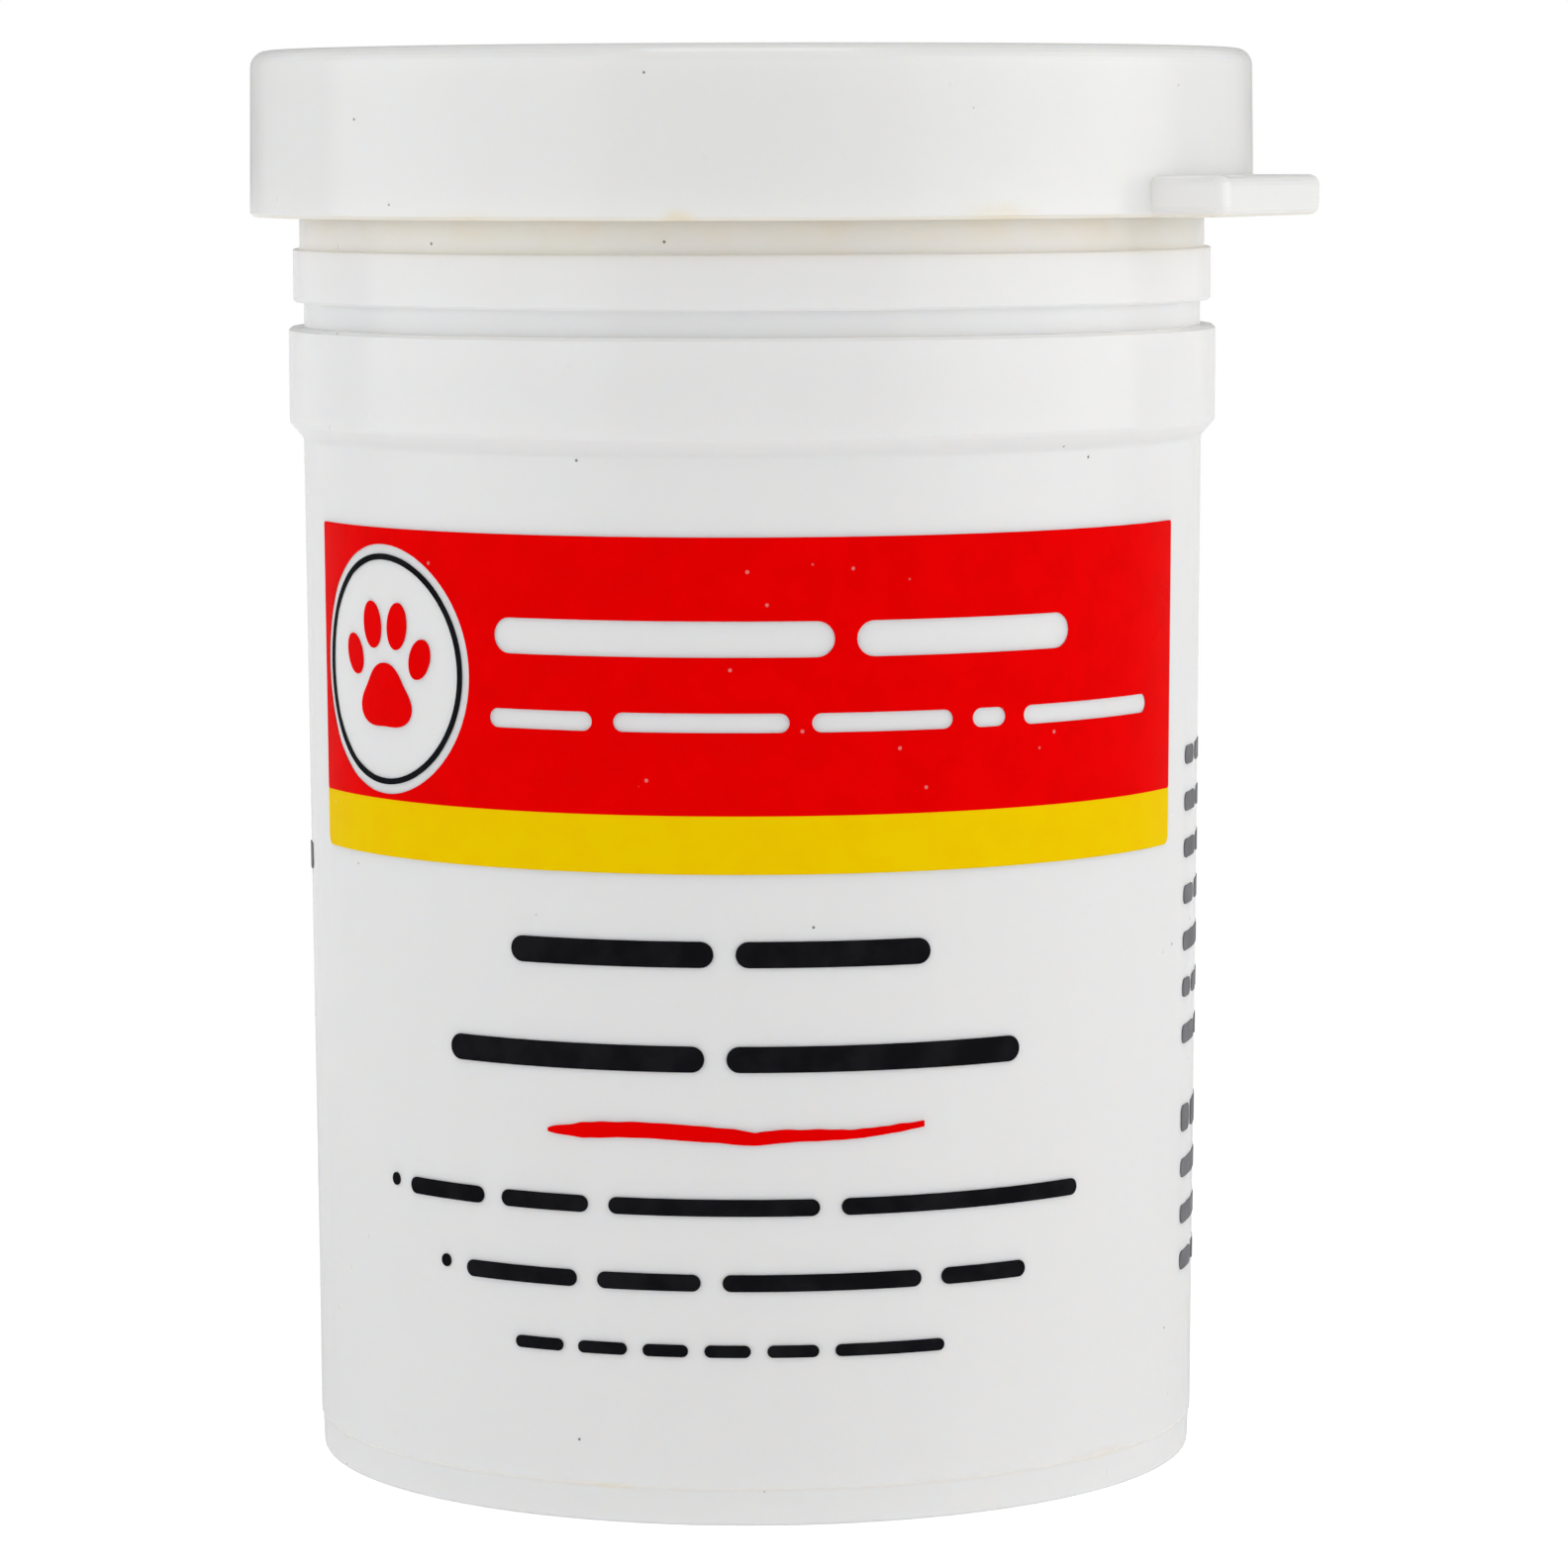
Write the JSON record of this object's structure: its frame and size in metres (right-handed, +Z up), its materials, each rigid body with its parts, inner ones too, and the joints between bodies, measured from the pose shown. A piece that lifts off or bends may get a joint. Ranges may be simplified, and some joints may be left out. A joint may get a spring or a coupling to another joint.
{
  "type": "snap-lid powder container",
  "caption": "Small round plastic container for a grooming powder, printed on its wall, with a push-on lid that lifts off by a thumb tab.",
  "frame": {"origin": "centre of the foot, in the plane on which the container stands", "axes": "+Z up along the container's axis, from the foot to the lid; -Y towards the printed front; +X to the right of somebody who looks at the front, where the thumb tab is"},
  "size_m": [0.0402, 0.038, 0.0534],
  "materials": {
    "container_plastic": "satin",
    "lid_plastic": "satin",
    "powder": "matte",
    "red_ink": "satin",
    "yellow_ink": "satin",
    "black_ink": "satin"
  },
  "bodies": {
    "container": {"container_body": "container_plastic", "powder_fill": "powder", "red_ink": "red_ink", "yellow_ink": "yellow_ink", "black_ink": "black_ink"},
    "lid": {"lid": "lid_plastic"}
  },
  "joints": [
    {"name": "lid_lift", "type": "slide", "parent": "container", "child": "lid", "axis": [0, 0, 1], "range_m": [0, 0.04]}
  ]
}
